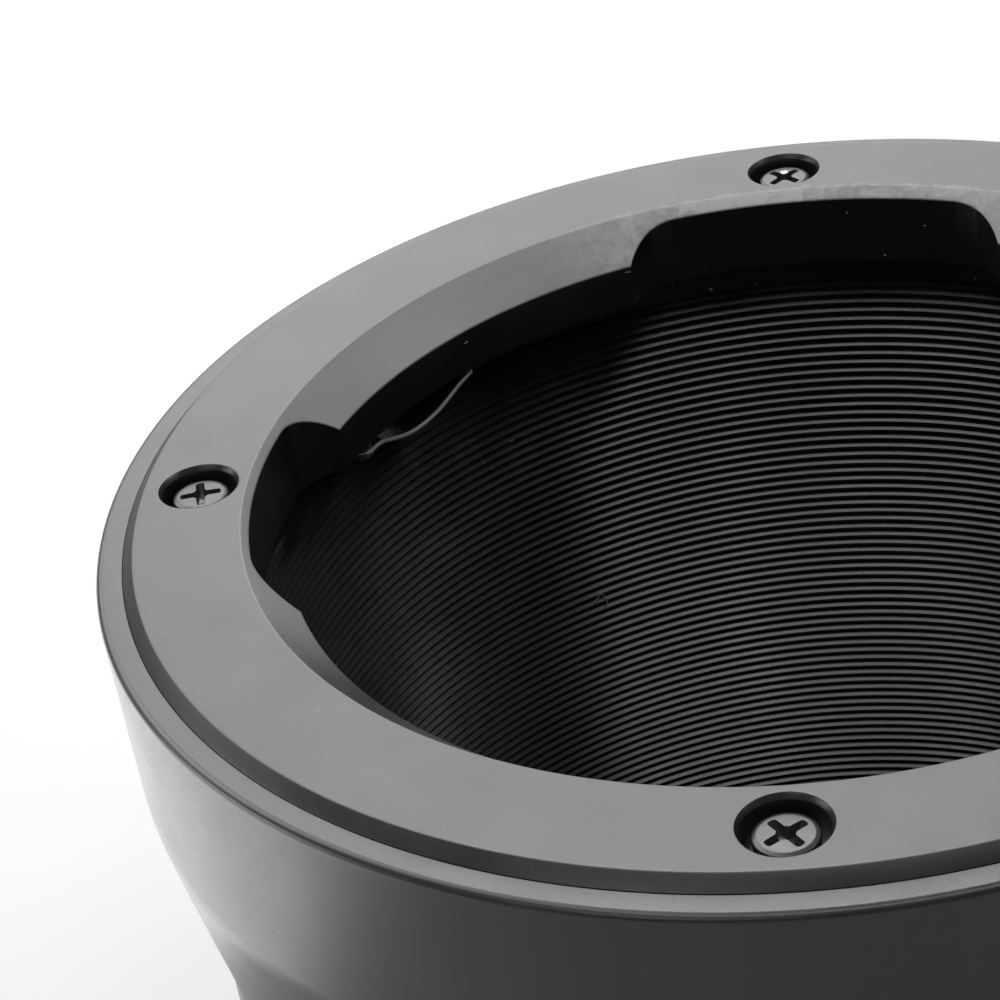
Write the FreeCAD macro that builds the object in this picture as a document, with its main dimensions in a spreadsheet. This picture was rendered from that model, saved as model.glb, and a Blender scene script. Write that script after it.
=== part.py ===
import FreeCAD, Part
import math
import os
import sys

from FreeCAD import Rotation, Vector

# Lens mount adapter: a deep black tube with a three-tab bayonet ring for the lens on top
# and a threaded spigot for the camera below.
# Millimetres, +Z up along the optical axis. The origin is where the axis crosses the plane
# that the lens seats on (the top face of the bayonet ring). -Y is the side seen in front,
# azimuths are counted from +X towards +Y.

doc = FreeCAD.newDocument("lens_mount_adapter")
sheet = doc.addObject("Spreadsheet::Sheet", "dims")

SIZES = [
    # bayonet ring
    ("ring_face_rad", 28.5), ("ring_outer_rad", 29.03), ("ring_edge", 0.53), ("ring_flange", 2.4),
    ("bevel_outer_rad", 23.77), ("tab_rad", 21.97), ("collar_rad", 24.0), ("tab_under", 4.0),
    ("seat_clear", 0.05),
    # bayonet notches: outer radius, corner radius, azimuth of each corner's centre
    ("notch_corner", 3.05),
    ("notch_back_rad", 23.30), ("notch_back_from", 65.9), ("notch_back_to", 100.7),
    ("notch_left_rad", 23.46), ("notch_left_from", 165.35), ("notch_left_to", 190.6),
    ("notch_low_rad", 23.40), ("notch_low_from", 297.5), ("notch_low_to", 324.5),
    # barrel
    ("body_rad", 30.25), ("rim_drop", 0.55), ("rim_round", 0.35), ("bore_rad", 24.11),
    ("body_straight", 9.8), ("waist_a_rad", 29.80), ("waist_a_drop", 11.4),
    ("waist_b_rad", 29.62), ("waist_b_drop", 13.2), ("waist_c_rad", 29.04), ("waist_c_drop", 15.6),
    ("waist_d_rad", 28.68), ("waist_d_drop", 17.6), ("foot_rad", 28.5), ("waist_e_drop", 19.6),
    ("barrel_end", 38.4),
    # four screws that hold the bayonet ring
    ("screw_circle", 25.98), ("screw_az", -3.18), ("screw_sink", 0.40), ("screw_head_rad", 1.25),
    ("screw_head_edge", 0.50), ("screw_head_end", 1.25), ("screw_shank_rad", 0.8), ("screw_end", 6.0),
    ("screw_hole_end", 6.5), ("screw_hole_rad", 0.9), ("counterbore_rad", 1.69), ("counterbore_edge", 0.13),
    ("counterbore_lead", 0.25),
    ("cross_span", 1.86), ("cross_width", 0.42), ("cross_depth", 0.5),
    # leaf springs under the tabs, and the rivet at one end of each
    ("leaf_inner_rad", 22.1), ("leaf_outer_rad", 23.6), ("leaf_thick", 0.22), ("leaf_drop", 4.6),
    ("leaf_bow", 0.75), ("leaf_lift", 0.4), ("leaf_span", 21.5), ("rivet_offset", 1.6),
    ("leaf_left_az", 153.4), ("leaf_front_az", 252.0), ("leaf_right_az", 24.0),
    ("rivet_rad", 0.4), ("rivet_shoulder_rad", 0.62), ("rivet_head_rad", 0.68), ("rivet_head", 0.28),
    ("rivet_depth", 1.4),
    # camera plate with its threaded spigot
    ("plate_rad", 28.5), ("seat_drop", 40.0), ("plate_edge", 0.3), ("spigot_rad", 21.0),
    ("seat_inner_rad", 21.4), ("seat_recess", 0.3),
    ("spigot_relief_rad", 20.45), ("relief_end", 40.8), ("thread_start", 41.2), ("spigot_end", 44.5),
    ("spigot_edge", 0.45), ("spigot_bore_rad", 19.0),
    ("plate_circle", 26.3), ("plate_screw_az", 40.0), ("plate_head_rad", 1.45), ("plate_head", 0.75),
    ("plate_hole_rad", 0.85), ("plate_screw_top", 34.2), ("plate_hole_top", 33.6),
    # lens lock: pin, sliding carriage, return spring and outside button
    ("lock_az", 25.0), ("lock_circle", 26.6), ("channel_rad", 1.7), ("channel_end", 15.0),
    ("pin_rad", 0.9), ("pin_hole_rad", 1.0), ("pin_rise", 1.2), ("pin_root", 5.5),
    ("carriage_rad", 1.6), ("carriage_top", 2.5), ("carriage_end", 9.5), ("button_drop", 6.6),
    ("lock_travel", 1.8), ("slot_rad", 1.1), ("stem_rad", 1.0), ("stem_from", 28.22),
    ("button_from", 30.3), ("button_to", 32.8), ("button_rad", 2.5), ("button_edge", 0.35),
    ("button_bore_rad", 0.75), ("button_screw_rad", 0.7), ("button_head_rad", 1.4),
    ("button_head", 0.7), ("button_screw_in", 25.8),
    ("coil_rad", 1.25), ("coil_wire_rad", 0.16), ("coil_pitch", 1.2),
]
VAL = {}
for row, (alias, value) in enumerate(SIZES, start=1):
    sheet.set("A%d" % row, alias)
    sheet.set("B%d" % row, repr(value))
    sheet.setAlias("B%d" % row, alias)
    VAL[alias] = value
doc.recompute()


def number(expr):
    """Value of a sheet expression, in millimetres or degrees."""
    text = expr.replace("dims.", "")
    names = dict(VAL)
    names["cos"] = lambda a: math.cos(math.radians(a))
    names["sin"] = lambda a: math.sin(math.radians(a))
    out = 0.0
    # only sums, differences and products of aliases and plain numbers are used in profiles
    for term in text.replace("-", "+-").split("+"):
        term = term.strip()
        if not term:
            continue
        sign = 1.0
        if term.startswith("-"):
            sign, term = -1.0, term[1:].strip()
        product = 1.0
        for factor in term.split("*"):
            factor = factor.strip()
            product *= names[factor] if factor in names else float(factor)
        out += sign * product
    return out


def placed(obj, x=None, y=None, z=None):
    for key, expr in (("x", x), ("y", y), ("z", z)):
        if expr is not None:
            obj.setExpression("Placement.Base." + key, expr)
    return obj


def turned(obj, rotation):
    obj.Placement = FreeCAD.Placement(Vector(0, 0, 0), rotation)
    return obj


def turned_body(name, points, place=None, rotation=None):
    """A turned piece: a closed half section, as (radius, height) expressions, revolved about Z."""
    body = doc.addObject("PartDesign::Body", name)
    sketch = body.newObject("Sketcher::SketchObject", name + "_section")
    plane = [f for f in body.Origin.OriginFeatures if f.Role == "XZ_Plane"][0]
    sketch.AttachmentSupport = (plane, [""])
    sketch.MapMode = "FlatFace"
    xy = [(number(a), number(b)) for a, b in points]
    count = len(xy)
    for i in range(count):
        a, b = xy[i], xy[(i + 1) % count]
        sketch.addGeometry(Part.LineSegment(Vector(a[0], a[1], 0), Vector(b[0], b[1], 0)), False)
    import Sketcher
    for i in range(count):
        sketch.addConstraint(Sketcher.Constraint("Coincident", i, 2, (i + 1) % count, 1))
    for i in range(count):
        x, y = xy[i]
        if abs(x) < 1e-9:
            sketch.addConstraint(Sketcher.Constraint("PointOnObject", i, 1, -2))
        else:
            k = sketch.addConstraint(Sketcher.Constraint("DistanceX", -1, 1, i, 1, x))
            sketch.setExpression("Constraints[%d]" % k, points[i][0])
        if abs(y) < 1e-9:
            sketch.addConstraint(Sketcher.Constraint("PointOnObject", i, 1, -1))
        elif y < 0:
            k = sketch.addConstraint(Sketcher.Constraint("DistanceY", i, 1, -1, 1, -y))
            sketch.setExpression("Constraints[%d]" % k, "-(" + points[i][1] + ")")
        else:
            k = sketch.addConstraint(Sketcher.Constraint("DistanceY", -1, 1, i, 1, y))
            sketch.setExpression("Constraints[%d]" % k, points[i][1])
    turn = body.newObject("PartDesign::Revolution", name + "_turned")
    turn.Profile = sketch
    turn.ReferenceAxis = (sketch, ["V_Axis"])
    turn.Angle = 360
    doc.recompute()
    if rotation is not None:
        turned(body, rotation)
    if place:
        placed(body, *place)
    return body, turn


def ring_edge_names(shape, radius, height, tol=1e-3):
    names = []
    for k, edge in enumerate(shape.Edges, start=1):
        curve = edge.Curve
        if isinstance(curve, Part.Circle) and abs(curve.Radius - radius) < tol and abs(curve.Center.z - height) < tol:
            names.append("Edge%d" % k)
    return names


def cylinder(name, radius, height, place, rotation=None):
    obj = doc.addObject("Part::Cylinder", name)
    if rotation is not None:
        turned(obj, rotation)
    obj.setExpression("Radius", radius)
    obj.setExpression("Height", height)
    return placed(obj, *place)


def cone(name, rad_low, rad_high, height, place, rotation=None):
    obj = doc.addObject("Part::Cone", name)
    if rotation is not None:
        turned(obj, rotation)
    obj.setExpression("Radius1", rad_low)
    obj.setExpression("Radius2", rad_high)
    obj.setExpression("Height", height)
    return placed(obj, *place)


def fused(name, shapes):
    obj = doc.addObject("Part::MultiFuse", name)
    obj.Shapes = shapes
    return obj


def cut(name, base, tool):
    obj = doc.addObject("Part::Cut", name)
    obj.Base = base
    obj.Tool = tool
    return obj


NODES = []


def node(obj, label):
    obj.Label = label
    NODES.append((label, obj))
    return obj


def polar(rad, az):
    return "%s * cos(%s)" % (rad, az), "%s * sin(%s)" % (rad, az)


# --- bayonet ring ---------------------------------------------------------------------------
# Flat seat face, 45 degree outer edge, 45 degree lead-in down to the tabs, and a collar below
# the flange that centres the ring in the bore and carries the tabs.
ring_blank, _ = turned_body("ring_blank", [
    ("dims.bevel_outer_rad", "0"),
    ("dims.ring_face_rad", "0"),
    ("dims.ring_outer_rad", "-dims.ring_edge"),
    ("dims.ring_outer_rad", "-dims.ring_flange"),
    ("dims.collar_rad", "-dims.ring_flange"),
    ("dims.collar_rad", "-dims.tab_under"),
    ("dims.tab_rad", "-dims.tab_under"),
    ("dims.tab_rad", "dims.tab_rad - dims.bevel_outer_rad"),
])
ring_cuts = []
for tag in ("back", "left", "low"):
    rad, start, stop = ("dims.notch_%s_%s" % (tag, k) for k in ("rad", "from", "to"))
    sector = doc.addObject("Part::Cylinder", "notch_%s_sector" % tag)
    turned(sector, Rotation(Vector(0, 0, 1), VAL["notch_%s_from" % tag]))
    sector.setExpression("Radius", rad)
    sector.setExpression("Height", "dims.tab_under + 2")
    sector.setExpression("Angle", "%s - %s" % (stop, start))
    sector.setExpression("Placement.Rotation.Angle", start)
    placed(sector, z="-dims.tab_under - 1")
    ring_cuts.append(sector)
    for end, az in (("a", start), ("b", stop)):
        x, y = polar("(%s - dims.notch_corner)" % rad, az)
        ring_cuts.append(cylinder("notch_%s_end_%s" % (tag, end), "dims.notch_corner", "dims.tab_under + 2",
                                  (x, y, "-dims.tab_under - 1")))
for k in range(4):
    x, y = polar("dims.screw_circle", "dims.screw_az + %d" % (90 * k))
    ring_cuts.append(cylinder("counterbore_%d" % k, "dims.counterbore_rad", "dims.screw_head_end + 1",
                              (x, y, "-dims.screw_head_end")))
    ring_cuts.append(cone("counterbore_edge_%d" % k, "dims.counterbore_rad",
                          "dims.counterbore_rad + 2 * dims.counterbore_edge", "2 * dims.counterbore_lead",
                          (x, y, "-dims.counterbore_lead")))
    ring_cuts.append(cylinder("ring_screw_hole_%d" % k, "dims.screw_hole_rad", "dims.ring_flange + 1",
                              (x, y, "-dims.ring_flange - 0.5")))
x, y = polar("dims.lock_circle", "dims.lock_az")
ring_cuts.append(cylinder("ring_pin_hole", "dims.pin_hole_rad", "dims.ring_flange + 1", (x, y, "-dims.ring_flange - 0.5")))
for tag in ("left", "front", "right"):
    x, y = polar("(dims.leaf_inner_rad + dims.leaf_outer_rad) / 2", "dims.leaf_%s_az - dims.rivet_offset" % tag)
    ring_cuts.append(cylinder("ring_rivet_hole_" + tag, "dims.rivet_rad", "dims.rivet_depth + 0.5",
                              (x, y, "-dims.tab_under - 0.5")))
ring = node(cut("bayonet_ring", ring_blank, fused("ring_cuts", ring_cuts)), "bayonet_ring")

# --- barrel ---------------------------------------------------------------------------------
barrel_blank, barrel_turn = turned_body("barrel_blank", [
    ("dims.bore_rad", "-dims.ring_flange"),
    ("dims.ring_outer_rad + dims.seat_clear", "-dims.ring_flange"),
    ("dims.ring_outer_rad + dims.seat_clear", "-dims.rim_drop"),
    ("dims.body_rad", "-dims.rim_drop"),
    ("dims.body_rad", "-dims.body_straight"),
    ("dims.waist_a_rad", "-dims.waist_a_drop"),
    ("dims.waist_b_rad", "-dims.waist_b_drop"),
    ("dims.waist_c_rad", "-dims.waist_c_drop"),
    ("dims.waist_d_rad", "-dims.waist_d_drop"),
    ("dims.foot_rad", "-dims.waist_e_drop"),
    ("dims.foot_rad", "-dims.barrel_end"),
    ("dims.bore_rad", "-dims.barrel_end"),
])
rim = barrel_blank.newObject("PartDesign::Fillet", "rim_round")
rim.Base = (barrel_turn, ring_edge_names(barrel_turn.Shape, VAL["body_rad"], -VAL["rim_drop"]))
rim.setExpression("Radius", "dims.rim_round")
barrel_blank.Tip = rim
doc.recompute()

out = Rotation(Vector(0, 0, 1), VAL["lock_az"]).multiply(Rotation(Vector(0, 1, 0), 90))
barrel_cuts = []
for k in range(4):
    x, y = polar("dims.screw_circle", "dims.screw_az + %d" % (90 * k))
    barrel_cuts.append(cylinder("tapped_%d" % k, "dims.screw_shank_rad", "dims.screw_hole_end - dims.ring_flange + 0.5",
                                (x, y, "-dims.screw_hole_end")))
    x, y = polar("dims.plate_circle", "dims.plate_screw_az + %d" % (90 * k))
    barrel_cuts.append(cylinder("plate_tapped_%d" % k, "dims.screw_shank_rad",
                                "dims.barrel_end - dims.plate_hole_top + 0.5", (x, y, "-dims.barrel_end - 0.5")))
x, y = polar("dims.lock_circle", "dims.lock_az")
barrel_cuts.append(cylinder("pin_channel", "dims.channel_rad", "dims.channel_end - dims.ring_flange + 0.5",
                            (x, y, "-dims.channel_end")))
for tag, drop in (("high", "dims.button_drop"), ("low", "dims.button_drop + dims.lock_travel")):
    barrel_cuts.append(cylinder("slot_end_" + tag, "dims.slot_rad", "dims.body_rad - dims.lock_circle + 1",
                                (x, y, "-(%s)" % drop), out))
slot = doc.addObject("Part::Box", "slot_middle")
turned(slot, Rotation(Vector(0, 0, 1), VAL["lock_az"]))
slot.setExpression("Length", "dims.body_rad - dims.lock_circle + 1")
slot.setExpression("Width", "2 * dims.slot_rad")
slot.setExpression("Height", "dims.lock_travel")
placed(slot,
       "dims.lock_circle * cos(dims.lock_az) + dims.slot_rad * sin(dims.lock_az)",
       "dims.lock_circle * sin(dims.lock_az) - dims.slot_rad * cos(dims.lock_az)",
       "-dims.button_drop - dims.lock_travel")
barrel_cuts.append(slot)
barrel = node(cut("barrel", barrel_blank, fused("barrel_cuts", barrel_cuts)), "barrel")


# --- screws with a cross recess -----------------------------------------------------------
def cross(name, place, base_rotation, turn):
    """Two crossed bars that sink a cross recess into a head; local +Z is out of the head."""
    bars = []
    for k in (0, 1):
        bar = doc.addObject("Part::Box", "%s_bar_%d" % (name, k))
        rotation = base_rotation.multiply(Rotation(Vector(0, 0, 1), turn + 90 * k))
        turned(bar, rotation)
        bar.setExpression("Length", "dims.cross_span")
        bar.setExpression("Width", "dims.cross_width")
        bar.setExpression("Height", "dims.cross_depth + 1")
        corner = rotation.multVec(Vector(1, 0, 0)), rotation.multVec(Vector(0, 1, 0)), rotation.multVec(Vector(0, 0, 1))
        exprs = []
        for axis in range(3):
            exprs.append("%s - (%.9f) * dims.cross_span / 2 - (%.9f) * dims.cross_width / 2 - (%.9f) * dims.cross_depth" % (
                place[axis], corner[0][axis], corner[1][axis], corner[2][axis]))
        placed(bar, *exprs)
        bars.append(bar)
    return fused(name + "_cross", bars)


UP = Rotation(Vector(0, 0, 1), 0)
DOWN = Rotation(Vector(1, 0, 0), 180)
for k, (tag, turn) in enumerate((("right", 20), ("back", 43), ("left", 8), ("front", 35))):
    az = "(dims.screw_az + %d)" % (90 * k)
    x, y = polar("dims.screw_circle", az)
    blank, _ = turned_body("ring_screw_%s_blank" % tag, [
        ("0", "-dims.screw_sink"),
        ("0.86 * dims.screw_head_rad", "-dims.screw_sink - 0.02"),
        ("dims.screw_head_rad", "-dims.screw_head_edge"),
        ("dims.screw_head_rad", "-dims.screw_head_end"),
        ("dims.screw_shank_rad", "-dims.screw_head_end"),
        ("dims.screw_shank_rad", "-dims.screw_end"),
        ("0", "-dims.screw_end"),
    ], place=(x, y, "0"))
    node(cut("ring_screw_" + tag, blank, cross("ring_screw_" + tag, (x, y, "-dims.screw_sink"), UP, turn)),
         "ring_screw_" + tag)


# --- leaf springs ---------------------------------------------------------------------------
def leaf_height(u):
    """Height of the strip's middle, from its riveted foot (u = 0) to its free end (u = 1)."""
    bow = VAL["leaf_bow"]
    lift = VAL["leaf_lift"]
    if u < 0.2:
        rise = 0.0
    elif u < 0.55:
        rise = -bow * 0.5 * (1 - math.cos(math.pi * (u - 0.2) / 0.35))
    else:
        rise = -bow + (bow + lift) * (1 - math.cos(0.5 * math.pi * (u - 0.55) / 0.45))
    return -VAL["leaf_drop"] + rise


def leaf_strip(az_foot):
    sections = []
    for i in range(15):
        u = i / 14.0
        az = math.radians(az_foot - VAL["leaf_span"] * u)
        mid = leaf_height(u)
        c, s = math.cos(az), math.sin(az)
        half = VAL["leaf_thick"] / 2
        corners = [Vector(r * c, r * s, mid + dz) for r, dz in (
            (VAL["leaf_inner_rad"], -half), (VAL["leaf_outer_rad"], -half),
            (VAL["leaf_outer_rad"], half), (VAL["leaf_inner_rad"], half))]
        sections.append(Part.makePolygon(corners + corners[:1]))
    solid = Part.makeLoft(sections, True, True)
    rivet_az = math.radians(az_foot - VAL["rivet_offset"])
    mid_rad = (VAL["leaf_inner_rad"] + VAL["leaf_outer_rad"]) / 2
    hole = Part.makeCylinder(VAL["rivet_rad"], 2.0, Vector(mid_rad * math.cos(rivet_az), mid_rad * math.sin(rivet_az),
                                                        -VAL["leaf_drop"] - 1.0))
    return solid.cut(hole)


for tag in ("left", "front", "right"):
    strip = doc.addObject("Part::Feature", "tab_spring_" + tag)
    strip.Shape = leaf_strip(VAL["leaf_%s_az" % tag])
    node(strip, "tab_spring_" + tag)
    x, y = polar("(dims.leaf_inner_rad + dims.leaf_outer_rad) / 2", "dims.leaf_%s_az - dims.rivet_offset" % tag)
    rivet, _ = turned_body("spring_rivet_" + tag, [
        ("0", "-dims.tab_under + dims.rivet_depth"),
        ("dims.rivet_rad", "-dims.tab_under + dims.rivet_depth"),
        ("dims.rivet_rad", "-dims.tab_under"),
        ("dims.rivet_shoulder_rad", "-dims.tab_under"),
        ("dims.rivet_shoulder_rad", "-dims.leaf_drop + 0.5 * dims.leaf_thick"),
        ("dims.rivet_rad", "-dims.leaf_drop + 0.5 * dims.leaf_thick"),
        ("dims.rivet_rad", "-dims.leaf_drop - 0.5 * dims.leaf_thick"),
        ("dims.rivet_head_rad", "-dims.leaf_drop - 0.5 * dims.leaf_thick"),
        ("dims.rivet_head_rad", "-dims.leaf_drop - 0.5 * dims.leaf_thick - 0.6 * dims.rivet_head"),
        ("0.55 * dims.rivet_head_rad", "-dims.leaf_drop - 0.5 * dims.leaf_thick - dims.rivet_head"),
        ("0", "-dims.leaf_drop - 0.5 * dims.leaf_thick - dims.rivet_head"),
    ], place=(x, y, "0"))
    node(rivet, "spring_rivet_" + tag)

# --- camera plate and its screws ----------------------------------------------------------
plate_blank, _ = turned_body("camera_plate_blank", [
    ("dims.spigot_bore_rad", "-dims.barrel_end"),
    ("dims.plate_rad", "-dims.barrel_end"),
    ("dims.plate_rad", "-dims.seat_drop + dims.plate_edge"),
    ("dims.plate_rad - dims.plate_edge", "-dims.seat_drop"),
    ("dims.seat_inner_rad", "-dims.seat_drop"),
    ("dims.seat_inner_rad", "-dims.seat_drop + dims.seat_recess"),
    ("dims.spigot_relief_rad", "-dims.seat_drop + dims.seat_recess"),
    ("dims.spigot_relief_rad", "-dims.relief_end"),
    ("dims.spigot_rad", "-dims.thread_start"),
    ("dims.spigot_rad", "-dims.spigot_end + dims.spigot_edge"),
    ("dims.spigot_rad - dims.spigot_edge", "-dims.spigot_end"),
    ("dims.spigot_bore_rad", "-dims.spigot_end"),
])
plate_cuts = []
for k in range(4):
    x, y = polar("dims.plate_circle", "(dims.plate_screw_az + %d)" % (90 * k))
    plate_cuts.append(cylinder("plate_hole_%d" % k, "dims.plate_hole_rad", "3", (x, y, "-dims.seat_drop - 0.5")))
    plate_cuts.append(cone("plate_sink_%d" % k, "dims.plate_head_rad + 0.05", "dims.screw_shank_rad + 0.05",
                           "dims.plate_head", (x, y, "-dims.seat_drop")))
node(cut("camera_plate", plate_blank, fused("plate_cuts", plate_cuts)), "camera_plate")
for k, turn in enumerate((12, 60, 33, 78)):
    x, y = polar("dims.plate_circle", "(dims.plate_screw_az + %d)" % (90 * k))
    blank, _ = turned_body("plate_screw_%d_blank" % (k + 1), [
        ("0", "-dims.seat_drop"),
        ("dims.plate_head_rad", "-dims.seat_drop"),
        ("dims.screw_shank_rad", "-dims.seat_drop + dims.plate_head"),
        ("dims.screw_shank_rad", "-dims.plate_screw_top"),
        ("0", "-dims.plate_screw_top"),
    ], place=(x, y, "0"))
    name = "plate_screw_%d" % (k + 1)
    node(cut(name, blank, cross(name, (x, y, "-dims.seat_drop"), DOWN, turn)), name)

# --- lens lock: pin, carriage, return spring, outside button and its screw ----------------
x, y = polar("dims.lock_circle", "dims.lock_az")
pin, _ = turned_body("lock_pin", [
    ("0", "dims.pin_rise"),
    ("0.5 * dims.pin_rad", "dims.pin_rise - 0.08"),
    ("0.85 * dims.pin_rad", "dims.pin_rise - 0.3"),
    ("dims.pin_rad", "dims.pin_rise - 0.6"),
    ("dims.pin_rad", "-dims.pin_root"),
    ("0", "-dims.pin_root"),
], place=(x, y, "0"))
node(pin, "lock_pin")

carriage_blank, _ = turned_body("carriage_blank", [
    ("dims.pin_rad", "-dims.carriage_top"),
    ("dims.carriage_rad", "-dims.carriage_top"),
    ("dims.carriage_rad", "-dims.carriage_end"),
    ("0", "-dims.carriage_end"),
    ("0", "-dims.pin_root"),
    ("dims.pin_rad", "-dims.pin_root"),
], place=(x, y, "0"))
inner = polar("dims.button_screw_in", "dims.lock_az")
carriage_hole = cylinder("carriage_hole", "dims.button_screw_rad", "dims.lock_circle - dims.button_screw_in + 3",
                         (inner[0], inner[1], "-dims.button_drop"), out)
node(cut("lock_carriage", carriage_blank, carriage_hole), "lock_carriage")

node(turned_body("release_button", [
    ("dims.button_bore_rad", "dims.stem_from"),
    ("dims.stem_rad", "dims.stem_from"),
    ("dims.stem_rad", "dims.button_from"),
    ("dims.button_rad - 0.2", "dims.button_from"),
    ("dims.button_rad", "dims.button_from + 0.2"),
    ("dims.button_rad", "dims.button_to - dims.button_edge"),
    ("dims.button_rad - dims.button_edge", "dims.button_to"),
    ("dims.button_head_rad + 0.05", "dims.button_to"),
    ("dims.button_bore_rad", "dims.button_to - dims.button_head"),
], place=("0", "0", "-dims.button_drop"), rotation=out)[0], "release_button")

screw_blank, _ = turned_body("button_screw_blank", [
    ("0", "dims.button_screw_in"),
    ("dims.button_screw_rad", "dims.button_screw_in"),
    ("dims.button_screw_rad", "dims.button_to - dims.button_head"),
    ("dims.button_head_rad", "dims.button_to - 0.03"),
    ("0", "dims.button_to - 0.03"),
], place=("0", "0", "-dims.button_drop"), rotation=out)
outer = polar("(dims.button_to - 0.03)", "dims.lock_az")
node(cut("button_screw", screw_blank, cross("button_screw", (outer[0], outer[1], "-dims.button_drop"), out, 30)),
     "button_screw")

# Return spring: a closed coil below the carriage, standing on the channel's blind end.
coil_low = -VAL["channel_end"] + VAL["coil_wire_rad"] + 0.01
coil_high = -VAL["carriage_end"] - VAL["coil_wire_rad"] - 0.01
helix = Part.makeHelix(VAL["coil_pitch"], coil_high - coil_low, VAL["coil_rad"])
start = helix.Edges[0].valueAt(helix.Edges[0].FirstParameter)
tangent = helix.Edges[0].tangentAt(helix.Edges[0].FirstParameter)
section = Part.Wire([Part.Circle(start, tangent, VAL["coil_wire_rad"]).toShape()])
coil_shape = Part.Wire(helix.Edges).makePipeShell([section], True, True)
coil = doc.addObject("Part::Feature", "pin_spring")
coil.Shape = coil_shape
coil.Placement = FreeCAD.Placement(Vector(VAL["lock_circle"] * math.cos(math.radians(VAL["lock_az"])),
                                          VAL["lock_circle"] * math.sin(math.radians(VAL["lock_az"])), coil_low),
                                   Rotation(Vector(0, 0, 1), 0))
node(coil, "pin_spring")

doc.recompute()

# --- checks and export ----------------------------------------------------------------------
bad = []
for obj in doc.Objects:
    if "Invalid" in obj.State or "Error" in obj.State:
        bad.append("%s: %s" % (obj.Name, obj.State))
for label, obj in NODES:
    if obj.Shape.isNull() or not obj.Shape.isValid():
        bad.append("%s: shape null or not valid" % label)
    elif not obj.Shape.Solids:
        bad.append("%s: no solid" % label)
if bad:
    print("\n".join(bad))
    sys.exit(1)

os.makedirs("parts", exist_ok=True)
for label, obj in NODES:
    obj.Shape.exportStep(os.path.join("parts", label + ".step"))
    box = obj.Shape.BoundBox
    print("%-20s solids %d volume %9.3f  z %.2f..%.2f" % (label, len(obj.Shape.Solids), obj.Shape.Volume, box.ZMin, box.ZMax))
print("nodes", len(NODES))
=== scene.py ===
import math
import random

import bmesh
import bpy
from mathutils import Matrix, Vector
from mathutils.geometry import delaunay_2d_cdt


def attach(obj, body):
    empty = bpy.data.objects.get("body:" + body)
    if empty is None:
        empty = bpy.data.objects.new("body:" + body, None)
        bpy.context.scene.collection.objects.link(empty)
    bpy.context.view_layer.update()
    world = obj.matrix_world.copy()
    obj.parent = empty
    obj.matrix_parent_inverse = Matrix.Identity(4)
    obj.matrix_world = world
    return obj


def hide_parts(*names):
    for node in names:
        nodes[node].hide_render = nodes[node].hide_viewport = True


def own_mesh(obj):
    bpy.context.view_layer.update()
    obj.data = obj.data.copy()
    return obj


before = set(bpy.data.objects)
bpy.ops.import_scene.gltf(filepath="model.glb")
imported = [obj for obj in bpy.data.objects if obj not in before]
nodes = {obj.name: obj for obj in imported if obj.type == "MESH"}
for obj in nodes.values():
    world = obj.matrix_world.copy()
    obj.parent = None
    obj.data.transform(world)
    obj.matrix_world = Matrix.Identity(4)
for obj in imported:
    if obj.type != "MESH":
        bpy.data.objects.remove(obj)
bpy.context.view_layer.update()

# Lens mount adapter. Millimetres below, metres in the scene. +Z is the optical axis, -Y the front,
# azimuths are counted from +X towards +Y, and z = 0 is the lens seat.
MM = 0.001


# --- mesh helpers ---------------------------------------------------------------------------
def sin(deg):
    return math.sin(math.radians(deg))


def cos(deg):
    return math.cos(math.radians(deg))


class Shape:
    """Vertices in millimetres and faces, gathered into one mesh."""

    def __init__(self):
        self.verts = []
        self.faces = []

    def add(self, x, y, z):
        self.verts.append((x, y, z))
        return len(self.verts) - 1

    def circle(self, rad, z, count, cx=0.0, cy=0.0, start=0.0):
        return [self.add(cx + rad * cos(start + 360.0 * k / count), cy + rad * sin(start + 360.0 * k / count), z)
                for k in range(count)]

    def loop(self, azimuths, rads, zs):
        return [self.add(r * cos(a), r * sin(a), z) for a, r, z in zip(azimuths, rads, zs)]

    def bridge(self, a, b):
        n = len(a)
        for k in range(n):
            j = (k + 1) % n
            self.faces.append((a[k], a[j], b[j], b[k]))

    def fan(self, loop, tip):
        n = len(loop)
        for k in range(n):
            self.faces.append((loop[k], loop[(k + 1) % n], tip))

    def turned(self, profile, count, cx=0.0, cy=0.0, closed=True, start=0.0):
        rows = []
        for r, z in profile:
            if r < 1e-9:
                rows.append([self.add(cx, cy, z)])
            else:
                rows.append(self.circle(r, z, count, cx, cy, start))
        m = len(rows)
        for i in range(m if closed else m - 1):
            a, b = rows[i], rows[(i + 1) % m]
            if len(a) == 1 and len(b) == 1:
                continue
            if len(a) == 1:
                self.fan(b[::-1], a[0])
            elif len(b) == 1:
                self.fan(a, b[0])
            else:
                self.bridge(a, b)
        return rows

    def flat(self, loops, keep):
        """Fills a flat face at one height between closed loops of vertices, where keep(x, y) is true."""
        ids = [i for loop in loops for i in loop]
        pts = [Vector(self.verts[i][:2]) for i in ids]
        edges, base = [], 0
        for loop in loops:
            n = len(loop)
            edges += [(base + k, base + (k + 1) % n) for k in range(n)]
            base += n
        out = delaunay_2d_cdt(pts, edges, [], 0, 1e-7, True)
        back = [src[0] if src else None for src in out[3]]
        for tri in out[2]:
            src = [back[v] for v in tri]
            if any(v is None for v in src):
                continue
            x = sum(pts[v][0] for v in src) / len(src)
            y = sum(pts[v][1] for v in src) / len(src)
            if keep(x, y):
                self.faces.append(tuple(ids[v] for v in src))


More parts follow.
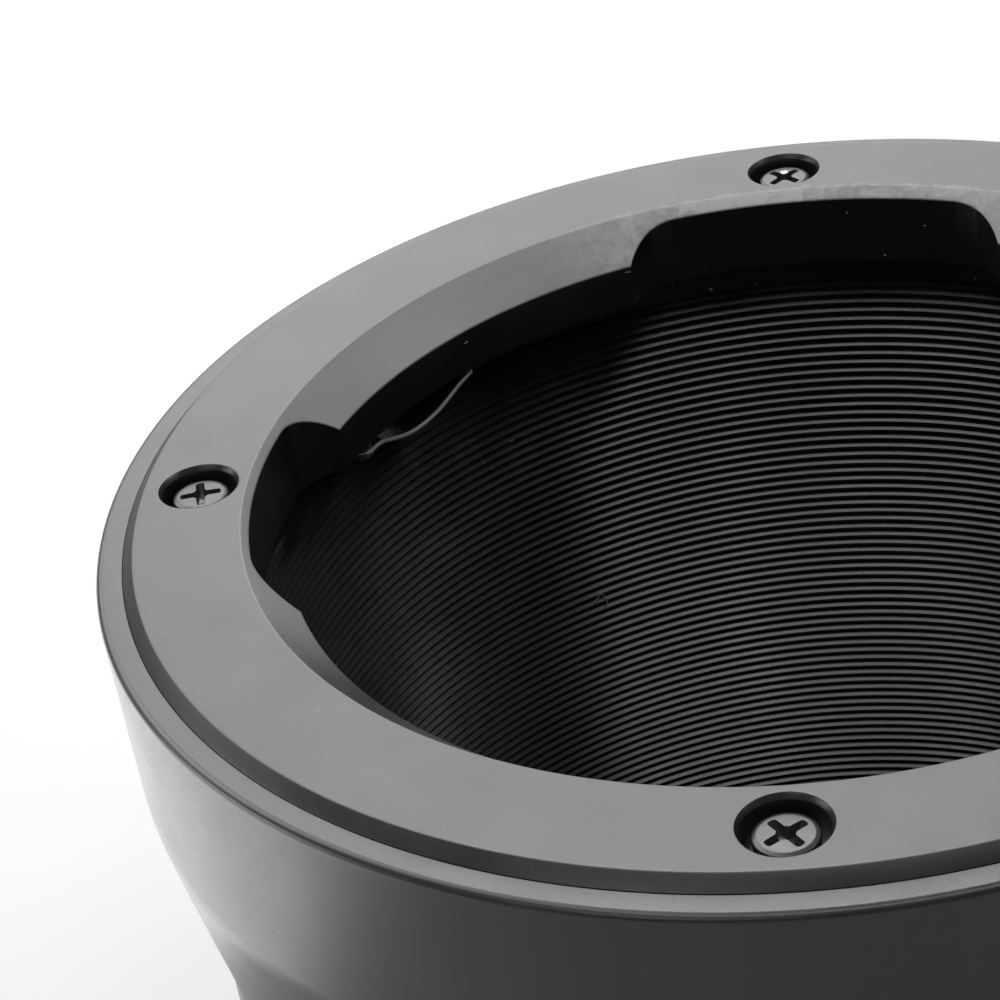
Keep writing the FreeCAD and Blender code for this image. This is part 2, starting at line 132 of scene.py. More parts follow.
def rounded(profile, radii, steps=4):
    """A profile with some of its corners turned into arcs: radii is {index: radius}."""
    out = []
    n = len(profile)
    for i, p in enumerate(profile):
        rad = radii.get(i, 0.0)
        if rad <= 0:
            out.append(p)
            continue
        a, b = profile[i - 1], profile[(i + 1) % n]
        va, vb = Vector((a[0] - p[0], a[1] - p[1])), Vector((b[0] - p[0], b[1] - p[1]))
        la, lb = va.length, vb.length
        va.normalize()
        vb.normalize()
        half = math.acos(max(-1.0, min(1.0, va.dot(vb)))) / 2
        reach = min(rad / math.tan(half), 0.49 * la, 0.49 * lb)
        rad = reach * math.tan(half)
        mid = (va + vb).normalized()
        centre = Vector(p) + mid * (rad / math.sin(half))
        start, end = Vector(p) + va * reach - centre, Vector(p) + vb * reach - centre
        turn = math.atan2(start.x * end.y - start.y * end.x, start.dot(end))
        for k in range(steps + 1):
            t = turn * k / steps
            v = Vector((start.x * math.cos(t) - start.y * math.sin(t), start.x * math.sin(t) + start.y * math.cos(t)))
            out.append((centre.x + v.x, centre.y + v.y))
    return out


def smooth_curve(points, per_span):
    """Points on a smooth curve through the given (height, radius) pairs, heights falling."""
    out = []
    n = len(points)
    slopes = []
    for i in range(n):
        if i == 0 or i == n - 1:
            slopes.append(0.0)
            continue
        (h0, r0), (h1, r1), (h2, r2) = points[i - 1], points[i], points[i + 1]
        d0, d1 = (r1 - r0) / (h1 - h0), (r2 - r1) / (h2 - h1)
        slopes.append(0.0 if d0 * d1 <= 0 else 2 * d0 * d1 / (d0 + d1))
    for i in range(n - 1):
        (h0, r0), (h1, r1) = points[i], points[i + 1]
        step = h1 - h0
        for k in range(per_span):
            t = k / per_span
            a, b = 2 * t ** 3 - 3 * t ** 2 + 1, t ** 3 - 2 * t ** 2 + t
            c, d = -2 * t ** 3 + 3 * t ** 2, t ** 3 - t ** 2
            out.append((a * r0 + b * step * slopes[i] + c * r1 + d * step * slopes[i + 1], h0 + t * step))
    out.append((points[-1][1], points[-1][0]))
    return out


def made(name, shape, sharp=28.0, matrix=None, weighted=True):
    """A mesh object from a Shape, with outward normals and crisp edges above an angle."""
    mesh = bpy.data.meshes.new(name)
    bm = bmesh.new()
    verts = [bm.verts.new((x * MM, y * MM, z * MM)) for x, y, z in shape.verts]
    for face in shape.faces:
        if len(set(face)) < 3:
            continue
        try:
            bm.faces.new([verts[i] for i in face])
        except ValueError:
            pass
    bmesh.ops.remove_doubles(bm, verts=bm.verts, dist=2e-8)
    loose = [v for v in bm.verts if not v.link_faces]
    bmesh.ops.delete(bm, geom=loose, context="VERTS")
    bmesh.ops.recalc_face_normals(bm, faces=bm.faces)
    bm.to_mesh(mesh)
    bm.free()
    obj = bpy.data.objects.new(name, mesh)
    bpy.context.scene.collection.objects.link(obj)
    if matrix is not None:
        mesh.transform(matrix)
    finish_normals(obj, sharp, weighted)
    return obj


def finish_normals(obj, sharp=28.0, weighted=True):
    mesh = obj.data
    for p in mesh.polygons:
        p.use_smooth = True
    mesh.set_sharp_from_angle(angle=math.radians(sharp))
    if weighted:
        mod = obj.modifiers.new("normals", "WEIGHTED_NORMAL")
        mod.mode = "FACE_AREA"
        mod.weight = 50
        mod.keep_sharp = True


def carve(obj, cutters, sharp=28.0, weighted=True):
    """Cuts the cutters out of obj and removes them."""
    bpy.context.view_layer.update()
    for m in list(obj.modifiers):
        obj.modifiers.remove(m)
    for c in cutters:
        for m in list(c.modifiers):
            c.modifiers.remove(m)
        mod = obj.modifiers.new("cut", "BOOLEAN")
        mod.operation = "DIFFERENCE"
        mod.solver = "EXACT"
        mod.object = c
    bpy.context.view_layer.update()
    graph = bpy.context.evaluated_depsgraph_get()
    mesh = bpy.data.meshes.new_from_object(obj.evaluated_get(graph))
    for m in list(obj.modifiers):
        obj.modifiers.remove(m)
    old = obj.data
    obj.data = mesh
    bpy.data.meshes.remove(old)
    mesh.name = obj.name
    for c in cutters:
        data = c.data
        bpy.data.objects.remove(c)
        bpy.data.meshes.remove(data)
    finish_normals(obj, sharp, weighted)
    return obj


def sweep(points, radius, sides=8, ends=True, taper=None):
    """A round tube along points, as a Shape."""
    shape = Shape()
    n = len(points)
    pts = [Vector(p) for p in points]
    rows = []
    side = None
    for i in range(n):
        t = (pts[min(i + 1, n - 1)] - pts[max(i - 1, 0)]).normalized()
        if side is None:
            ref = Vector((0, 0, 1)) if abs(t.z) < 0.9 else Vector((1, 0, 0))
            side = t.cross(ref).normalized()
        else:
            side = (side - t * side.dot(t)).normalized()
        up = t.cross(side)
        r = radius * (taper(i / (n - 1)) if taper else 1.0)
        rows.append([shape.add(*(pts[i] + side * (r * math.cos(2 * math.pi * k / sides))
                                 + up * (r * math.sin(2 * math.pi * k / sides)))) for k in range(sides)])
    for a, b in zip(rows, rows[1:]):
        shape.bridge(a, b)
    if ends:
        shape.fan(rows[0][::-1], shape.add(*pts[0]))
        shape.fan(rows[-1], shape.add(*pts[-1]))
    return shape


def piece(obj, material, body, stands_for=()):
    obj.data.materials.clear()
    obj.data.materials.append(material)
    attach(obj, body)
    if stands_for:
        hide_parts(*stands_for)
    return obj


# --- materials ------------------------------------------------------------------------------
class Nodes:
    """A small helper to wire one material's nodes."""

    def __init__(self, name):
        self.mat = bpy.data.materials.new(name)
        self.mat.use_nodes = True
        self.tree = self.mat.node_tree
        self.shader = [n for n in self.tree.nodes if n.type == "BSDF_PRINCIPLED"][0]
        self.place = self.new("ShaderNodeTexCoord").outputs["Object"]

    def new(self, kind, **values):
        n = self.tree.nodes.new(kind)
        for k, v in values.items():
            setattr(n, k, v)
        return n

    def link(self, a, b):
        self.tree.links.new(a, b)

    def math(self, op, a, b=None, clamp=False):
        n = self.new("ShaderNodeMath", operation=op, use_clamp=clamp)
        for i, v in enumerate((a, b)):
            if v is None:
                continue
            if isinstance(v, (int, float)):
                n.inputs[i].default_value = v
            else:
                self.link(v, n.inputs[i])
        return n.outputs[0]

    def noise(self, scale, detail=2.0, rough=0.5, stretch=None, distortion=0.0):
        n = self.new("ShaderNodeTexNoise")
        n.inputs["Scale"].default_value = scale
        n.inputs["Detail"].default_value = detail
        n.inputs["Roughness"].default_value = rough
        n.inputs["Distortion"].default_value = distortion
        src = self.place
        if stretch:
            m = self.new("ShaderNodeMapping")
            m.inputs["Scale"].default_value = stretch
            self.link(src, m.inputs["Vector"])
            src = m.outputs["Vector"]
        self.link(src, n.inputs["Vector"])
        return n.outputs["Fac"]

    def ramp(self, value, low, high, out_low=0.0, out_high=1.0, smooth=False):
        n = self.new("ShaderNodeMapRange", clamp=True)
        n.interpolation_type = "SMOOTHSTEP" if smooth else "LINEAR"
        self.link(value, n.inputs["Value"])
        for key, v in (("From Min", low), ("From Max", high), ("To Min", out_low), ("To Max", out_high)):
            n.inputs[key].default_value = v
        return n.outputs["Result"]

    def mix_colour(self, fac, a, b):
        n = self.new("ShaderNodeMix", data_type="RGBA")
        self.link(fac, n.inputs[0])
        for i, v in ((6, a), (7, b)):
            if isinstance(v, (tuple, list)):
                n.inputs[i].default_value = (*v[:3], 1.0)
            else:
                self.link(v, n.inputs[i])
        return n.outputs[2]

    def bump(self, height, distance, strength=1.0, normal=None):
        n = self.new("ShaderNodeBump")
        n.inputs["Strength"].default_value = strength
        n.inputs["Distance"].default_value = distance
        self.link(height, n.inputs["Height"])
        if normal is not None:
            self.link(normal, n.inputs["Normal"])
        return n.outputs["Normal"]

    def split(self):
        n = self.new("ShaderNodeSeparateXYZ")
        self.link(self.place, n.inputs[0])
        return n.outputs

    def set(self, **values):
        for k, v in values.items():
            key = k.replace("_", " ")
            self.shader.inputs[key].default_value = v

    def radius(self):
        x, y, _ = self.split()
        return self.math("SQRT", self.math("ADD", self.math("MULTIPLY", x, x), self.math("MULTIPLY", y, y)))


def grey(v):
    return (v, v, v)


def anodised(name, dark=0.006, light=0.009, rough=0.38, spread=0.04, ior=1.75, grain=1.0, bevel_wear_and_light=False, bore=None):
    """Matte black anodised aluminium: a fine grain, faint cloudiness and small light specks."""
    m = Nodes(name)
    m.set(IOR=ior)
    cloud = m.noise(260.0, 3.0, 0.6)
    fine = m.noise(7000.0, 2.0, 0.6)
    speck = m.noise(2600.0, 2.0, 0.5)
    colour = m.mix_colour(m.ramp(cloud, 0.3, 0.7), grey(dark), grey(light))
    rough_out = m.math("ADD", m.ramp(cloud, 0.25, 0.75, rough - spread, rough + spread),
                       m.ramp(fine, 0.3, 0.7, -0.03, 0.03))
    normal = m.bump(fine, 0.0000022 * grain, 1.0)
    if bore is not None:
        # the turned bore is smoother than the blasted outside, and it is also made less reflective: painted shade
        # inside the bore
        inside = m.ramp(m.radius(), 0.0246, 0.0250, 1.0, 0.0)
        rough_out = m.math("ADD", rough_out, m.math("MULTIPLY", inside, bore - rough))
        m.link(m.math("SUBTRACT", 0.5, m.math("MULTIPLY", inside, 0.13)), m.shader.inputs["Specular IOR Level"])
        specks = m.ramp(m.radius(), 0.0280, 0.0282)
    else:
        specks = m.ramp(m.radius(), 0.0236, 0.0240)
    colour = m.mix_colour(m.math("MULTIPLY", specks, m.ramp(speck, 0.745, 0.79, 0.0, 0.28)), colour, grey(0.16))
    if bevel_wear_and_light:
        rad = m.radius()
        x, y, z = m.split()
        angle = m.math("ARCTAN2", y, x)
        cone = m.math("SUBTRACT", z, m.math("SUBTRACT", rad, 0.02377))
        on_bevel = m.math("MULTIPLY", m.ramp(rad, 0.02382, 0.02376), m.ramp(cone, -0.00009, -0.00004))
        # the lead-in is scuffed where lens lugs enter, strongest along the back notch, and it is painted paler all
        # round, most at the back: wear and painted light
        near = m.math("MULTIPLY", m.ramp(angle, 0.95, 1.15, smooth=True), m.ramp(angle, 2.10, 1.78, smooth=True))
        wide = m.math("MULTIPLY", m.ramp(angle, 0.7, 1.0, smooth=True), m.ramp(angle, 2.60, 2.05, smooth=True))
        mottle = m.noise(1500.0, 4.0, 0.65, distortion=0.6)
        streak = m.noise(600.0, 3.0, 0.6, stretch=(1.0, 1.0, 4.0), distortion=1.2)
        hot = m.math("MULTIPLY", m.ramp(angle, 1.42, 1.56, smooth=True), m.ramp(angle, 1.80, 1.66, smooth=True))
        wear_and_painted_light = m.math("ADD", m.math("MULTIPLY", near, m.ramp(mottle, 0.36, 0.62, 0.0, 0.35)),
                        m.math("MULTIPLY", wide, m.ramp(streak, 0.45, 0.72, 0.0, 0.055)))
        wear_and_painted_light = m.math("ADD", wear_and_painted_light, m.math("MULTIPLY", hot, m.ramp(mottle, 0.34, 0.58, 0.22, 0.60)))
        # painted light: the paleness is painted strongest at the back and runs out round the front, where it is nearly
        # the plain finish
        side = m.math("DIVIDE", m.math("ADD", m.math("MULTIPLY", x, cos(115.0)), m.math("MULTIPLY", y, sin(115.0))), rad)
        base = m.ramp(side, -0.24, 0.16, 0.07, 0.535, smooth=True)
        wear_and_painted_light = m.math("ADD", m.math("ADD", wear_and_painted_light, base), m.ramp(cloud, 0.3, 0.7, -0.023, 0.023), clamp=True)
        wear_and_painted_light = m.math("MULTIPLY", wear_and_painted_light, on_bevel)
        # a little of the scuffing reaches over the lip on to the seat face
        spill = m.math("MULTIPLY", m.math("MULTIPLY", near, m.ramp(mottle, 0.46, 0.60, 0.0, 0.18)),
                       m.math("MULTIPLY", m.ramp(rad, 0.02418, 0.02379), m.ramp(z, -0.00006, -0.00002)))
        wear_and_painted_light = m.math("MAXIMUM", wear_and_painted_light, spill)
        # the upright inner walls are made less reflective than the face: painted shade
        painted_shade_walls = m.math("MULTIPLY", m.ramp(rad, 0.02405, 0.02400), m.math("SUBTRACT", 1.0, m.ramp(cone, -0.00012, -0.00006)))
        painted_shade_walls = m.math("MULTIPLY", painted_shade_walls, m.ramp(z, -0.0002, -0.0004))
        m.link(m.math("SUBTRACT", 0.5, m.math("MULTIPLY", painted_shade_walls, 0.2)), m.shader.inputs["Specular IOR Level"])
        colour = m.mix_colour(wear_and_painted_light, colour, grey(0.55))
        rough_out = m.math("ADD", rough_out, m.math("MULTIPLY", wear_and_painted_light, 0.10))
    m.link(colour, m.shader.inputs["Base Color"])
    m.link(rough_out, m.shader.inputs["Roughness"])
    m.link(normal, m.shader.inputs["Normal"])
    return m.mat


def steel(name, low, high, rough, metallic=1.0, turned_marks=False, scratch=0.04, ior=1.5, rubbed_glint=None, sheared_edge_highlight=None):
    """Steel; the glint spot is (x, y, radius) in millimetres of a pale metallic patch where a driver has rubbed the
    finish off, placed where the head shows a highlight: a painted highlight as well as wear, the edge radius is the
    radius within which a strip's edge is left dull and pale grey, which also paints a highlight line along it."""
    m = Nodes(name)
    m.set(Metallic=metallic, IOR=ior)
    cloud = m.noise(900.0, 3.0, 0.6)
    fine = m.noise(9000.0, 2.0, 0.5)
    lines = m.noise(1400.0, 3.0, 0.6, stretch=(1.0, 1.0, 9.0) if turned_marks else (6.0, 1.0, 1.0))
    colour = m.mix_colour(m.ramp(cloud, 0.3, 0.7), grey(low), grey(high))
    # a pale metallic patch rubbed bare, placed where the head shows a highlight: painted highlight as well as wear
    if rubbed_glint:
        x, y, z = m.split()
        dx, dy = m.math("SUBTRACT", x, rubbed_glint[0] * MM), m.math("SUBTRACT", y, rubbed_glint[1] * MM)
        away = m.math("SQRT", m.math("ADD", m.math("MULTIPLY", dx, dx), m.math("MULTIPLY", dy, dy)))
        away = m.math("ADD", away, m.ramp(m.noise(6000.0, 2.0, 0.6), 0.3, 0.7, -0.00003, 0.00003))
        glint_spot = m.math("MULTIPLY", m.ramp(away, rubbed_glint[2] * MM, 0.7 * rubbed_glint[2] * MM), m.ramp(z, -0.00045, -0.00043))
        colour = m.mix_colour(glint_spot, colour, grey(0.8))
        m.link(m.math("MAXIMUM", glint_spot, metallic), m.shader.inputs["Metallic"])
    rough_out = m.math("ADD", m.ramp(lines, 0.3, 0.7, rough - scratch, rough + scratch), m.ramp(fine, 0.3, 0.7, -0.02, 0.02))
    # the strip's inner edge is painted dull pale grey: a sheared edge, and also a painted highlight line along it
    if sheared_edge_highlight:
        edge = m.ramp(m.radius(), sheared_edge_highlight + 0.00004, sheared_edge_highlight)
        colour = m.mix_colour(edge, colour, grey(0.30))
        m.link(m.math("SUBTRACT", metallic, m.math("MULTIPLY", edge, 0.7 * metallic)), m.shader.inputs["Metallic"])
        rough_out = m.math("ADD", rough_out, m.math("MULTIPLY", edge, 0.25))
    m.link(colour, m.shader.inputs["Base Color"])
    m.link(rough_out, m.shader.inputs["Roughness"])
    m.link(m.bump(lines, 0.0000015, 1.0), m.shader.inputs["Normal"])
    return m.mat


BODY = anodised("body_anodised", rough=0.34, bore=0.22)
RING = anodised("ring_anodised", rough=0.36, bevel_wear_and_light=True)
PLATE = anodised("plate_anodised", rough=0.38)
SCREW = steel("screw_black_oxide", 0.020, 0.035, 0.34, metallic=0.0, ior=1.75)
# the back screw's head carries a painted highlight: a pale bare-metal patch between its upper arms
SCREW_RUBBED_GLINT = steel("screw_black_oxide_rubbed_glint", 0.020, 0.035, 0.34, metallic=0.0, ior=1.75, rubbed_glint=(1.46, 26.46, 0.22))
SPRING = steel("spring_bright", 0.50, 0.60, 0.24, sheared_edge_highlight=0.02220)
PIN = steel("pin_turned", 0.50, 0.60, 0.26, turned_marks=True)


def pale(name, value, rough):
    m = Nodes(name)
    cloud = m.noise(20000.0, 2.0, 0.5)
    m.link(m.mix_colour(m.ramp(cloud, 0.3, 0.7), grey(value * 0.85), grey(value)), m.shader.inputs["Base Color"])
    m.set(Roughness=rough)
    return m.mat


DUST = pale("dust", 0.30, 0.8)
DUST_PALE = pale("dust_pale", 0.82, 0.7)

# --- bayonet ring ---------------------------------------------------------------------------
FACE_R, RING_R, FLANGE = 28.5, 29.03, 2.4
BEVEL_R, TAB_R, COLLAR_R, TAB_UNDER = 23.77, 21.97, 24.0, 4.0
NOTCH_CORNER = 3.05
NOTCHES = ((23.30, 65.9, 100.7), (23.46, 165.35, 190.6), (23.40, 297.5, 324.5))
SCREW_CIRCLE, SCREW_AZ = 25.98, -3.18
LOCK_CIRCLE, LOCK_AZ = 26.6, 25.0
EDGE = 0.035


def throat():
    """The inner outline of the ring: azimuths and radii, with three notches between three tabs."""
    out = []
    spans = []
    for rad, start, stop in NOTCHES:
        rho = rad - NOTCH_CORNER
        reach = math.acos((TAB_R ** 2 - rho ** 2 - NOTCH_CORNER ** 2) / (2 * rho * NOTCH_CORNER))
        corner = []
        for k in range(25):
            a = reach * k / 24
            px, py = rho + NOTCH_CORNER * math.cos(a), NOTCH_CORNER * math.sin(a)
            corner.append((math.degrees(math.atan2(py, px)), math.hypot(px, py)))
        corner[-1] = (corner[-1][0], TAB_R)
        pts = [(start - d, r) for d, r in reversed(corner)]
        count = int(round((stop - start) / 0.5))
        pts += [(start + (stop - start) * k / count, rad) for k in range(1, count)]
        pts += [(stop + d, r) for d, r in corner]
        spans.append(pts)
    for i, pts in enumerate(spans):
        out += pts
        a, b = pts[-1][0], spans[(i + 1) % 3][0][0]
        if b < a:
            b += 360.0
        count = int(round((b - a) / 0.5))
        out += [(a + (b - a) * k / count, TAB_R) for k in range(1, count)]
    return out


def bayonet_ring():
    shape = Shape()
    outline = throat()
    az = [a for a, _ in outline]
    inner = [r for _, r in outline]
    n = len(az)

    def row(rad, z):
        rads = [rad] * n if isinstance(rad, (int, float)) else rad
        zs = [z] * n if isinstance(z, (int, float)) else z
        return shape.loop(az, rads, zs)

    outside = rounded([(RING_R, -FLANGE), (RING_R, -0.53), (FACE_R, 0.0), (20.0, 0.0)], {1: 0.04, 2: 0.09}, 3)[:-1]
    outside.append((FACE_R - 0.12, 0.0))
    rows = [row(r, z) for r, z in outside]
    for a, b in zip(rows, rows[1:]):
        shape.bridge(a, b)
    lip = [(BEVEL_R + 0.12, 0.0)] + rounded([(26.0, 0.0), (BEVEL_R, 0.0), (BEVEL_R - 1.0, -1.0)], {1: 0.09}, 3)[1:-1]
    inside = [row(r, z) for r, z in lip]
    start_r, start_z = lip[-1]
    for t in (0.33, 0.66):
        rads = [start_r + (r - start_r) * t for r in inner]
        inside.append(row(rads, [r - BEVEL_R for r in rads]))
    for dr, dz in ((EDGE, EDGE), (0.35 * EDGE, 0.12 * EDGE), (0.0, -0.7 * EDGE)):
        rads = [r + dr for r in inner]
        inside.append(row(rads, [r - BEVEL_R + dz for r in inner]))
    inside.append(row(inner, -TAB_UNDER + EDGE))
    inside.append(row([r + EDGE for r in inner], -TAB_UNDER))
    inside.append(row(COLLAR_R, -TAB_UNDER))
    inside.append(row(COLLAR_R, -FLANGE))
    for a, b in zip(inside, inside[1:]):
        shape.bridge(a, b)

    holes = []
    top_loops, low_loops = [rows[-1], inside[0]], [rows[0], inside[-1]]
    for k in range(4):
        cx, cy = SCREW_CIRCLE * cos(SCREW_AZ + 90 * k), SCREW_CIRCLE * sin(SCREW_AZ + 90 * k)
        profile = rounded([(2.4, 0.0), (1.82, 0.0), (1.69, -0.25), (1.69, -1.25), (0.9, -1.25), (0.9, -FLANGE)],
                          {1: 0.03, 2: 0.03}, 2)[1:]
        profile = [(profile[0][0] + 0.06, 0.0)] + profile
        cut = shape.turned(profile, 96, cx, cy, closed=False)
        top_loops.append(cut[0])
        low_loops.append(cut[-1])
        holes.append((cx, cy, profile[0][0], 0.9))
    cx, cy = LOCK_CIRCLE * cos(LOCK_AZ), LOCK_CIRCLE * sin(LOCK_AZ)
    profile = rounded([(1.6, 0.0), (1.12, 0.0), (1.0, -0.12), (1.0, -FLANGE)], {1: 0.02, 2: 0.02}, 2)[1:]
    profile = [(profile[0][0] + 0.05, 0.0)] + profile
    cut = shape.turned(profile, 64, cx, cy, closed=False)
    top_loops.append(cut[0])
    low_loops.append(cut[-1])
    holes.append((cx, cy, profile[0][0], 1.0))

    def on_top(x, y):
        r = math.hypot(x, y)
        return lip[0][0] - 0.002 < r < outside[-1][0] and all(math.hypot(x - h[0], y - h[1]) > h[2] for h in holes)

    def below(x, y):
        r = math.hypot(x, y)
        return COLLAR_R < r < RING_R and all(math.hypot(x - h[0], y - h[1]) > h[3] for h in holes)

    shape.flat(top_loops, on_top)
    shape.flat(low_loops, below)
    return made("bayonet_ring_turned", shape, sharp=24.0)


piece(bayonet_ring(), RING, "root", ["bayonet_ring"])

# --- barrel ---------------------------------------------------------------------------------
BODY_R, RIM, BORE_R, FOOT_R, BARREL_END = 30.245, 0.55, 24.11, 28.5, 38.4
RIB_FIRST, RIB_TOP, RIB_PITCH, RIB_DEPTH = 5.85, 5.47, 0.513, 0.28
WAIST = [(-8.8, BODY_R), (-9.6, 30.19), (-10.6, 30.03), (-11.6, 29.86), (-12.8, 29.65), (-14.0, 29.43), (-15.2, 29.20), (-16.4, 28.97),
         (-17.4, 28.79), (-18.4, 28.63), (-19.2, 28.54), (-20.0, FOOT_R)]


def bore_profile():
    """The bore from the foot up: fine turned ribs with V grooves between them."""
    out = []
    crests = []
    z = RIB_FIRST
    while z < 38.25:
        crests.append(-z)
        z += RIB_PITCH
    out.append((BORE_R, -BARREL_END))
    land, floor = 0.025, 0.015
    for i in range(len(crests) - 1, -1, -1):
        c = crests[i]
        out.append((BORE_R, c - land))
        out.append((BORE_R, c + land))
        above = crests[i - 1] if i > 0 else -RIB_TOP + land
        mid = (c + above) / 2
        deep = RIB_DEPTH * (above - c) / RIB_PITCH
        out.append((BORE_R + deep, mid - floor))
        out.append((BORE_R + deep, mid + floor))
    out.append((BORE_R, -RIB_TOP))
    out.append((BORE_R, -FLANGE))
    return out


def barrel():
    count = 288
    outer = [(29.055, -FLANGE), (29.055, -RIM), (BODY_R, -RIM), (BODY_R, WAIST[0][0])]
    outer = rounded(outer, {1: 0.02, 2: 0.35}, 6)
    outer += smooth_curve(WAIST, 3)[1:]
    outer += [(FOOT_R, -26.0), (FOOT_R, -32.0), (FOOT_R, -BARREL_END + 0.12), (FOOT_R - 0.12, -BARREL_END)]
    shape = Shape()
    shape.turned(outer + bore_profile(), count)
    obj = made("barrel_turned", shape, sharp=24.0)
    # channel of the lens lock and the slot that its button slides in
    cx, cy = LOCK_CIRCLE * cos(LOCK_AZ), LOCK_CIRCLE * sin(LOCK_AZ)
    channel = Shape()
    channel.turned([(0, -15.0), (1.7, -15.0), (1.7, -2.0), (0, -2.0)], 48, cx, cy, closed=False)
    slot = Shape()
    ring = []
    for k in range(17):
        a = 180.0 * k / 16
        ring.append((1.1 * cos(a), -6.6 + 1.1 * sin(a)))
    for k in range(17):
        a = 180.0 + 180.0 * k / 16
        ring.append((1.1 * cos(a), -8.4 + 1.1 * sin(a)))
    ux, uy = cos(LOCK_AZ), sin(LOCK_AZ)
    near = [slot.add(LOCK_CIRCLE * ux - s * uy, LOCK_CIRCLE * uy + s * ux, z) for s, z in ring]
    far = [slot.add(32.0 * ux - s * uy, 32.0 * uy + s * ux, z) for s, z in ring]
    slot.bridge(near, far)
    slot.faces += [tuple(near), tuple(reversed(far))]
    return carve(obj, [made("cut_channel", channel), made("cut_slot", slot)], sharp=24.0)


piece(barrel(), BODY, "root", ["barrel"])


# --- screws ---------------------------------------------------------------------------------
def cross_cutter(top, turn, span=0.93, width=0.215, depth=0.52):
    """A cross recess: four arms that narrow and shorten towards the bottom. Local +Z is out of the head."""
    shape = Shape()
    for k in range(4):
        a = turn + 90 * k
        rings = []
        for z, reach, half in ((0.6, span * 1.10, width * 1.06), (0.0, span, width), (-0.55 * depth, span * 0.88, width * 0.90),
                               (-depth, span * 0.62, width * 0.78)):
            pts = [(-0.02, -half), (reach - 0.07, -half * 0.88), (reach, -half * 0.45), (reach, half * 0.45),
                   (reach - 0.07, half * 0.88), (-0.02, half)]
            rings.append([shape.add(x * cos(a) - y * sin(a), x * sin(a) + y * cos(a), top + z) for x, y in pts])
        for p, q in zip(rings, rings[1:]):
            shape.bridge(p, q)
        shape.faces += [tuple(rings[0]), tuple(reversed(rings[-1]))]
    hub = Shape()
    hub.turned([(0, top + 0.6), (width * 2.0, top + 0.6), (width * 1.75, top), (width * 1.15, top - depth), (0, top - depth - 0.08)],
               24, closed=False)
    return shape, hub


def screw(name, profile, top, turn, matrix, sharp=26.0, **recess):
    shape = Shape()
    shape.turned(profile, 96, closed=False)
    obj = made(name, shape)
    arms, hub = cross_cutter(top, turn, **recess)
    arm_objs = []
    n = len(arms.verts) // 4
    faces_each = len(arms.faces) // 4
    for k in range(4):
        one = Shape()
        one.verts = arms.verts[n * k:n * (k + 1)]
        one.faces = [tuple(i - n * k for i in f) for f in arms.faces[faces_each * k:faces_each * (k + 1)]]
        arm_objs.append(made("cut_arm_%d" % k, one))
    carve(obj, arm_objs + [made("cut_hub", hub)], sharp=sharp)
    obj.data.transform(matrix)
    return obj


def at(x, y, z):
    return Matrix.Translation((x * MM, y * MM, z * MM))


HEAD = rounded([(0, -0.40), (0.6, -0.403), (1.075, -0.42), (1.25, -0.50), (1.25, -1.25), (0.8, -1.25), (0.8, -5.7), (0.5, -6.0),
                (0, -6.0)], {2: 0.25, 3: 0.06}, 4)
for k, (tag, turn) in enumerate((("right", 20), ("back", 43), ("left", 8), ("front", 35))):
    a = SCREW_AZ + 90 * k
    obj = screw("ring_screw_%s_head" % tag, HEAD, -0.40, turn, at(SCREW_CIRCLE * cos(a), SCREW_CIRCLE * sin(a), 0))
    piece(obj, SCREW_RUBBED_GLINT if tag == "back" else SCREW, "root", ["ring_screw_" + tag])

SEAT, PLATE_CIRCLE = 40.0, 26.3
FLIP = Matrix.Rotation(math.pi, 4, "X")
SUNK = rounded([(0, 0.0), (1.45, 0.0), (1.40, -0.08), (0.8, -0.75), (0.8, -5.6), (0.6, -5.8), (0, -5.8)], {1: 0.02}, 2)
for k, turn in enumerate((12, 60, 33, 78)):
    a = 40.0 + 90 * k
    obj = screw("plate_screw_%d_head" % (k + 1), SUNK, 0.0, turn,
                at(PLATE_CIRCLE * cos(a), PLATE_CIRCLE * sin(a), -SEAT) @ FLIP)
    piece(obj, SCREW, "root", ["plate_screw_%d" % (k + 1)])

# --- leaf springs and rivets ----------------------------------------------------------------
LEAF_IN, LEAF_OUT, LEAF_THICK = 22.1, 23.6, 0.22
# height of the strip's inner edge along its length, from its riveted foot: (degrees, height)
LEAF_PATH = [(0.0, -4.60), (1.9, -4.60), (3.2, -4.61), (4.5, -4.70), (6.5, -5.01), (8.6, -5.28), (10.4, -5.41), (12.2, -5.42), (13.9, -5.35),
             (15.3, -5.22), (17.2, -4.93), (19.1, -4.58), (20.2, -4.42), (21.2, -4.27), (21.8, -4.18)]


